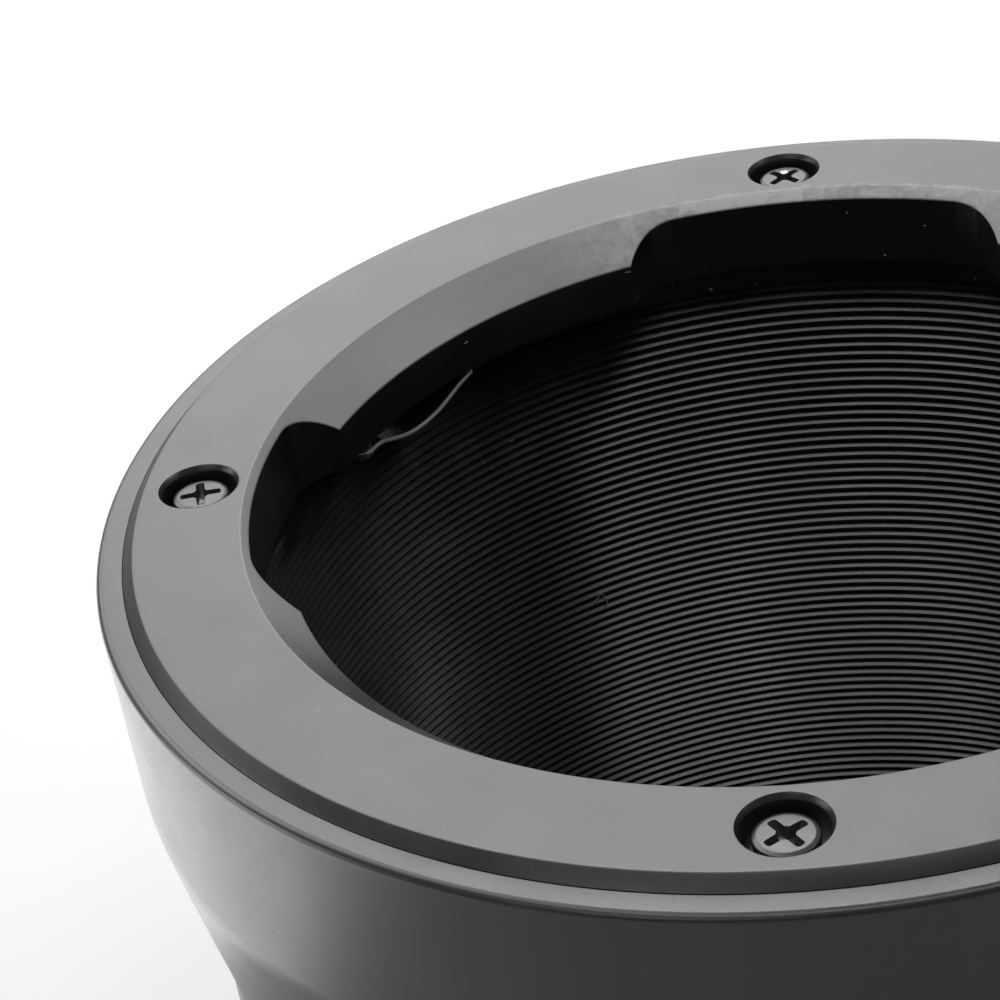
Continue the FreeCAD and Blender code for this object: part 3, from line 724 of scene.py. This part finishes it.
def leaf(name, foot):
    pts = []
    for i in range(len(LEAF_PATH) - 1):
        p0 = LEAF_PATH[max(i - 1, 0)]
        p1, p2 = LEAF_PATH[i], LEAF_PATH[i + 1]
        p3 = LEAF_PATH[min(i + 2, len(LEAF_PATH) - 1)]
        for k in range(8):
            t = k / 8
            pts.append(tuple(0.5 * (2 * b + (c - a) * t + (2 * a - 5 * b + 4 * c - d) * t * t + (3 * b - a - 3 * c + d) * t ** 3)
                             for a, b, c, d in zip(p0, p1, p2, p3)))
    pts.append(LEAF_PATH[-1])
    shape = Shape()
    half = LEAF_THICK / 2
    rows = []
    total = pts[-1][0]
    for deg, z in pts:
        # both ends of the strip are rounded in plan
        grip = min(1.0, math.sqrt(max(0.0, min(1.0, deg / 1.3))) + 0.02, math.sqrt(max(0.0, min(1.0, (total - deg) / 0.45))) + 0.02)
        mid_r, half_w = (LEAF_IN + LEAF_OUT) / 2, (LEAF_OUT - LEAF_IN) / 2 * max(grip, 0.25)
        section = []
        for s in range(9):
            a = 90.0 + 180.0 * s / 8
            section.append((mid_r - half_w + half * 0.9 + half * 0.9 * cos(a), half * sin(a)))
        for s in range(5):
            a = -90.0 + 180.0 * s / 4
            section.append((mid_r + half_w - 0.05 + 0.05 * cos(a), half * sin(a)))
        rows.append([shape.add(r * cos(foot - deg), r * sin(foot - deg), z + h) for r, h in section])
    for a, b in zip(rows, rows[1:]):
        shape.bridge(a, b)
    shape.faces += [tuple(rows[0]), tuple(reversed(rows[-1]))]
    return made(name, shape, sharp=35.0)


for tag, foot in (("left", 153.4), ("front", 252.0), ("right", 24.0)):
    piece(leaf("tab_spring_%s_strip" % tag, foot), SPRING, "root", ["tab_spring_" + tag])
    a = foot - 1.6
    mid = (LEAF_IN + LEAF_OUT) / 2
    shape = Shape()
    shape.turned(rounded([(0, -2.6), (0.4, -2.6), (0.4, -4.0), (0.62, -4.0), (0.62, -4.49), (0.4, -4.49), (0.4, -4.71), (0.68, -4.71),
                          (0.66, -4.86), (0.45, -4.98), (0, -5.0)], {8: 0.06, 9: 0.1}, 3), 48, mid * cos(a), mid * sin(a), closed=False)
    piece(made("spring_rivet_%s_head" % tag, shape), SCREW, "root", ["spring_rivet_" + tag])


# --- camera plate with its threaded spigot ------------------------------------------------
def camera_plate():
    count = 288
    shape = Shape()
    side = rounded([(19.0, -BARREL_END), (28.5, -BARREL_END), (28.5, -SEAT + 0.3), (28.2, -SEAT), (25.0, -SEAT)], {1: 0.1, 2: 0.08, 3: 0.08}, 3)
    rows = [shape.circle(r, z, count) for r, z in side[:-1]]
    seat_edge = rows[-1]
    for a, b in zip(rows, rows[1:]):
        shape.bridge(a, b)
    step = rounded([(25.0, -SEAT), (21.4, -SEAT), (21.4, -SEAT + 0.3), (20.45, -SEAT + 0.3), (20.45, -40.8)], {1: 0.05, 3: 0.06}, 3)[1:]
    neck = [shape.circle(r, z, count) for r, z in step]
    seat_inner = neck[0]
    for a, b in zip(neck, neck[1:]):
        shape.bridge(a, b)
    # 0.75 mm pitch thread, faded out at the relief and at the end chamfer
    major, minor, pitch = 21.0, 20.55, 0.75
    last = neck[-1]
    steps = 104
    for i in range(1, steps + 1):
        z = -40.8 - (44.5 - 40.8) * i / steps
        top = 20.45 + (major - 20.45) * min(1.0, (-z - 40.8) / 0.4)
        if -z > 44.5 - 0.45:
            top = min(top, major - ((-z) - (44.5 - 0.45)))
        ring = []
        for k in range(count):
            phase = (z / pitch + k / count) % 1.0
            wave = abs(2 * phase - 1)
            r = minor + (major - minor) * max(0.0, min(1.0, 1.28 * wave - 0.10))
            r = min(r, top)
            ring.append(shape.add(r * cos(360.0 * k / count), r * sin(360.0 * k / count), z))
        shape.bridge(last, ring)
        last = ring
    bottom = rounded([(20.45, -44.5), (19.0, -44.5), (19.0, -BARREL_END)], {1: 0.12}, 3)[1:-1]
    bore = [shape.circle(r, z, count) for r, z in bottom]
    shape.bridge(last, bore[0])
    for a, b in zip(bore, bore[1:]):
        shape.bridge(a, b)
    # three fine light-trap grooves turned in the spigot's bore
    z = -43.4
    prev = bore[-1]
    while z < -39.2:
        for r, dz in ((19.0, 0.0), (19.28, 0.24), (19.28, 0.28), (19.0, 0.52)):
            ring = shape.circle(r, z + dz, count)
            shape.bridge(prev, ring)
            prev = ring
        z += 0.56
    shape.bridge(prev, rows[0])
    loops, holes = [seat_edge, seat_inner], []
    for k in range(4):
        cx, cy = PLATE_CIRCLE * cos(40 + 90 * k), PLATE_CIRCLE * sin(40 + 90 * k)
        cut = shape.turned([(1.5, -SEAT), (0.86, -SEAT + 0.76), (0.85, -BARREL_END)], 64, cx, cy, closed=False)
        loops.append(cut[0])
        holes.append((cx, cy))
    seat_out = side[-2][0]
    shape.flat(loops, lambda x, y: step[0][0] < math.hypot(x, y) < seat_out
               and all(math.hypot(x - h[0], y - h[1]) > 1.5 for h in holes))
    return made("camera_plate_turned", shape, sharp=24.0)


piece(camera_plate(), PLATE, "root", ["camera_plate"])

# --- lens lock ------------------------------------------------------------------------------
lx, ly = LOCK_CIRCLE * cos(LOCK_AZ), LOCK_CIRCLE * sin(LOCK_AZ)
shape = Shape()
shape.turned(rounded([(0, 1.2), (0.45, 1.12), (0.765, 0.9), (0.9, 0.6), (0.9, -5.5), (0, -5.5)], {2: 0.3, 3: 0.3}, 4), 64, lx, ly, closed=False)
piece(made("lock_pin_turned", shape), PIN, "lock", ["lock_pin"])
shape = Shape()
shape.turned(rounded([(0, -5.5), (0.9, -5.5), (0.9, -2.5), (1.6, -2.5), (1.6, -9.5), (0, -9.5)], {3: 0.15, 4: 0.15}, 3), 64, lx, ly, closed=False)
piece(made("lock_carriage_turned", shape), PIN, "lock", ["lock_carriage"])

OUT = Matrix.Translation((0, 0, -6.6 * MM)) @ Matrix.Rotation(math.radians(LOCK_AZ), 4, "Z") @ Matrix.Rotation(math.pi / 2, 4, "Y")


def release_button():
    """A flat round button with a fluted rim and a sunk screw head."""
    shape = Shape()
    count = 240
    plain = rounded([(0.75, 28.22), (1.0, 28.22), (1.0, 30.3), (2.3, 30.3), (2.5, 30.5)], {3: 0.05}, 3)
    rows = [shape.circle(r, z, count) for r, z in plain]
    for z, depth in ((30.62, 0.0), (30.70, 0.09), (32.30, 0.09), (32.38, 0.0)):
        rows.append([shape.add((2.5 - depth * (0.5 - 0.5 * cos(360.0 * 30 * k / count))) * cos(360.0 * k / count),
                               (2.5 - depth * (0.5 - 0.5 * cos(360.0 * 30 * k / count))) * sin(360.0 * k / count), z)
                     for k in range(count)])
    top = rounded([(2.5, 32.42), (2.5, 32.48), (2.15, 32.8), (1.45, 32.8), (0.75, 32.1)], {1: 0.08, 2: 0.12, 3: 0.03}, 3)
    rows += [shape.circle(r, z, count) for r, z in top]
    for i in range(len(rows)):
        shape.bridge(rows[i], rows[(i + 1) % len(rows)])
    return made("release_button_turned", shape, sharp=30.0, matrix=OUT)


piece(release_button(), BODY, "lock", ["release_button"])
obj = screw("button_screw_head", rounded([(0, 32.77), (1.36, 32.77), (1.30, 32.70), (0.7, 32.1), (0.7, 25.8), (0, 25.8)], {1: 0.03}, 2), 32.77, 30, OUT)
piece(obj, SCREW, "lock", ["button_screw"])

coil = []
turns, low, high = 4.4, -15.0 + 0.17, -9.5 - 0.17
for i in range(int(turns * 40) + 1):
    t = i / (turns * 40)
    a = 360.0 * turns * t
    coil.append((lx + 1.25 * cos(a), ly + 1.25 * sin(a), low + (high - low) * t))
obj = made("pin_spring_coil", sweep(coil, 0.16, 12), sharp=40.0, weighted=False)
piece(obj, SPRING, "root", ["pin_spring"])
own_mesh(obj)

# --- dust and a fibre -----------------------------------------------------------------------
def fleck(shape, azimuth, rad, z, lean, width, length, thick, turn, seed):
    """A small ragged flake lying on a surface; lean is the elevation of the surface's normal, which faces the axis."""
    rng = random.Random(seed)
    n = Vector((-cos(azimuth) * cos(lean), -sin(azimuth) * cos(lean), sin(lean)))
    along = Vector((-sin(azimuth), cos(azimuth), 0.0))
    across = n.cross(along)
    a, b = along * cos(turn) + across * sin(turn), across * cos(turn) - along * sin(turn)
    centre = Vector((rad * cos(azimuth), rad * sin(azimuth), z)) + n * (0.30 * thick)
    sides = 9
    rows = []
    for level, size in ((-0.5, 0.72), (-0.1, 1.0), (0.35, 0.7)):
        rows.append([])
        for k in range(sides):
            t = 2 * math.pi * k / sides
            push = size * rng.uniform(0.72, 1.12)
            rows[-1].append(shape.add(*(centre + a * (0.5 * length * push * math.cos(t)) + b * (0.5 * width * push * math.sin(t))
                                        + n * (thick * (level + rng.uniform(-0.12, 0.12))))))
    shape.fan(rows[0][::-1], shape.add(*(centre - n * (0.6 * thick))))
    for p, q in zip(rows, rows[1:]):
        shape.bridge(p, q)
    shape.fan(rows[-1], shape.add(*(centre + n * (0.62 * thick))))


FLECKS = [
    # azimuth, radius, height, lean, width, length, thickness, turn
    (96.86, 24.11, -5.27, 0, 0.17, 0.21, 0.08, 35), (101.41, 24.11, -4.60, 0, 0.045, 0.50, 0.04, 88),
    (91.25, 24.11, -5.36, 0, 0.07, 0.09, 0.05, 10), (64.63, 24.11, -5.24, 0, 0.07, 0.17, 0.05, 75),
    (67.39, 24.404, -5.655, 60, 0.07, 0.16, 0.05, 5), (108.06, 21.97, -2.12, 0, 0.06, 0.42, 0.035, -12),
    (132.56, 21.97, -2.46, 0, 0.07, 0.34, 0.035, 8), (79.32, 23.30, -1.30, 0, 0.10, 0.12, 0.05, 60),
    (75.08, 23.30, -3.70, 0, 0.08, 0.17, 0.05, 0), (69.79, 23.30, -1.98, 0, 0.08, 0.13, 0.045, 20),
    (122.78, 24.485, -10.226, 60, 0.07, 0.09, 0.05, 0), (125.02, 24.112, -10.441, 30, 0.08, 0.13, 0.05, 15),
    (132.11, 24.485, -10.739, 60, 0.08, 0.09, 0.05, 0), (129.29, 24.189, -10.91, 60, 0.06, 0.07, 0.04, 0),
    (128.33, 24.11, -11.468, 20, 0.07, 0.08, 0.05, 0), (139.21, 24.212, -8.844, 60, 0.08, 0.11, 0.05, 0),
    (98.94, 24.269, -15.48, 60, 0.10, 0.11, 0.07, 0), (99.45, 24.408, -8.218, 60, 0.08, 0.08, 0.06, 0),
    (140.87, 24.394, -18.999, 60, 0.10, 0.12, 0.07, 0), (128.53, 24.349, -14.921, 60, 0.08, 0.10, 0.06, 0),
    (154.57, 24.316, -9.81, 60, 0.08, 0.10, 0.06, 0), (160.76, 24.258, -14.973, 60, 0.10, 0.14, 0.06, 20),
]
shape = Shape()
for seed, row in enumerate(FLECKS):
    fleck(shape, *row, seed)
piece(made("dust_specks", shape, sharp=50.0, weighted=False), DUST, "root")
# three paler specks on the seat face and its outer edge
shape = Shape()
for seed, (az, rad, z, lean, size) in enumerate(((137.38, 28.86, -0.36, 135, 0.13), (123.11, 28.76, -0.26, 135, 0.11), (95.74, 28.0, 0.0, 90, 0.12))):
    fleck(shape, az, rad, z, lean, size * 0.8, size, 0.05, 30 * seed, 40 + seed)
piece(made("seat_specks", shape, sharp=50.0, weighted=False), DUST_PALE, "root")

# a hooked fibre lying across the ribs
LINT = [(117.54, -22.02), (117.2, -22.03), (116.95, -21.99), (116.62, -21.86), (116.36, -21.77), (116.15, -21.74), (115.94, -21.82), (115.76, -21.98),
        (115.62, -22.20), (115.56, -22.37), (115.66, -22.52), (115.87, -22.65)]
pts = []
for i in range(len(LINT) - 1):
    p0, p1, p2, p3 = LINT[max(i - 1, 0)], LINT[i], LINT[i + 1], LINT[min(i + 2, len(LINT) - 1)]
    for k in range(5):
        t = k / 5
        a, z = (0.5 * (2 * b + (c - a) * t + (2 * a - 5 * b + 4 * c - d) * t * t + (3 * b - a - 3 * c + d) * t ** 3)
                for a, b, c, d in zip(p0, p1, p2, p3))
        pts.append((24.09 * cos(a), 24.09 * sin(a), z))
piece(made("lint_fibre", sweep(pts, 0.03, 8, taper=lambda u: 0.75 + 0.35 * math.sin(9.0 * u) ** 2), sharp=60.0, weighted=False), DUST, "root")

# --- floor, light and camera ----------------------------------------------------------------
scene = bpy.context.scene
scene.view_settings.view_transform = "Standard"
scene.view_settings.look = "None"
scene.view_settings.exposure = 0.0
scene.view_settings.gamma = 1.0

floor_mesh = bpy.data.meshes.new("floor")
s = 3.0
z0 = -44.5 * MM
floor_mesh.from_pydata([(-s, -s, z0), (s, -s, z0), (s, s, z0), (-s, s, z0)], [], [(0, 1, 2, 3)])
floor = bpy.data.objects.new("floor", floor_mesh)
scene.collection.objects.link(floor)
m = Nodes("floor_paper")
m.link(m.mix_colour(m.ramp(m.noise(30.0, 3.0, 0.5), 0.3, 0.7), grey(0.88), grey(0.91)), m.shader.inputs["Base Color"])
m.set(Roughness=0.9)
# the floor is seen as white paper, but throws less light back up on the object
dim = m.new("ShaderNodeBsdfDiffuse")
dim.inputs["Color"].default_value = (0.45, 0.45, 0.45, 1.0)
both = m.new("ShaderNodeMixShader")
m.link(m.new("ShaderNodeLightPath").outputs["Is Camera Ray"], both.inputs[0])
m.link(dim.outputs[0], both.inputs[1])
m.link(m.shader.outputs[0], both.inputs[2])
m.link(both.outputs[0], [n for n in m.tree.nodes if n.type == "OUTPUT_MATERIAL"][0].inputs["Surface"])
floor_mesh.materials.append(m.mat)

world = bpy.data.worlds.new("studio")
scene.world = world
world.use_nodes = True
tree = world.node_tree
tree.nodes.clear()
out = tree.nodes.new("ShaderNodeOutputWorld")
mix = tree.nodes.new("ShaderNodeMixShader")
seen = tree.nodes.new("ShaderNodeBackground")
lit = tree.nodes.new("ShaderNodeBackground")
path = tree.nodes.new("ShaderNodeLightPath")
seen.inputs["Color"].default_value = (1, 1, 1, 1)
seen.inputs["Strength"].default_value = 1.05
lit.inputs["Color"].default_value = (1, 1, 1, 1)
lit.inputs["Strength"].default_value = 0.14
tree.links.new(path.outputs["Is Camera Ray"], mix.inputs[0])
tree.links.new(lit.outputs[0], mix.inputs[1])
tree.links.new(seen.outputs[0], mix.inputs[2])
tree.links.new(mix.outputs[0], out.inputs["Surface"])

AIM = Vector((0, 0, -0.01))


def softbox(name, azimuth, elevation, distance, width, height, radiance):
    """A soft panel of even brightness, facing the object."""
    data = bpy.data.lights.new(name, "AREA")
    data.shape = "RECTANGLE"
    data.size, data.size_y = width, height
    data.energy = radiance * math.pi * width * height
    obj = bpy.data.objects.new(name, data)
    scene.collection.objects.link(obj)
    d = Vector((cos(azimuth) * cos(elevation), sin(azimuth) * cos(elevation), sin(elevation)))
    obj.location = AIM + d * distance
    obj.rotation_mode = "QUATERNION"
    obj.rotation_quaternion = d.to_track_quat("Z", "Y")
    obj.visible_camera = False
    return obj


LIGHTS = [
    # a band of soft panels behind the object, from the right round to the left, and some above it:
    # name, azimuth, elevation, width, height, radiance
    ("back_low", 90, 20, 0.42, 0.23, 3.1), ("back_low_left", 120, 20, 0.42, 0.23, 2.35), ("back_low_far_left", 150, 20, 0.42, 0.23, 0.85),
    ("back_middle", 90, 36, 0.42, 0.23, 1.6), ("back_middle_left", 120, 36, 0.42, 0.23, 1.7),
    ("left_middle", 150, 36, 0.42, 0.23, 3.2), ("left_low", 180, 4, 0.42, 0.23, 3.9),
    ("back_high", 90, 52, 0.42, 0.23, 5.9), ("left_high", 150, 52, 0.42, 0.23, 2.1),
    ("right_middle", 0, 36, 0.42, 0.23, 2.8), ("front_left_fill", 240, 36, 0.42, 0.23, 1.15),
    ("top_right", 314, 66, 0.30, 0.23, 1.9), ("top_left", 210, 68, 0.336, 0.23, 2.0), ("top_back_left", 150, 68, 0.336, 0.23, 1.5),
    ("top_front", 270, 70, 0.26, 0.26, 1.7), ("top_back", 90, 81, 0.26, 0.26, 0.44),
]
for name, azimuth, elevation, width, height, radiance in LIGHTS:
    softbox(name, azimuth, elevation, 0.8, width, height, radiance)
# two soft patches of light lying on the floor at the left
for name, azimuth, away, radiance in (("table_left", 177, 0.135, 2.0), ("table_back_left", 150, 0.105, 1.6)):
    patch = softbox(name, 0, 90, 0.5, 0.12, 0.12, radiance)
    patch.location = (away * cos(azimuth), away * sin(azimuth), -0.0435)
    patch.rotation_mode = "XYZ"
    patch.rotation_euler = (math.pi, 0, math.radians(azimuth))

cam_data = bpy.data.cameras.new("camera")
cam_data.sensor_width = 36.0
cam_data.sensor_fit = "AUTO"
cam_data.lens = 102.464
cam_data.clip_start, cam_data.clip_end = 0.005, 20.0
cam = bpy.data.objects.new("camera", cam_data)
scene.collection.objects.link(cam)
right = Vector((0.98904302, 0.02750571, -0.14504256))
up = Vector((0.10763449, 0.53807329, 0.83599758))
back = Vector((0.10103823, -0.84244915, 0.52921707))
cam.matrix_world = Matrix(((right.x, up.x, back.x, 0.0), (right.y, up.y, back.y, -0.104996),
                           (right.z, up.z, back.z, 0.064429), (0, 0, 0, 1)))
scene.camera = cam
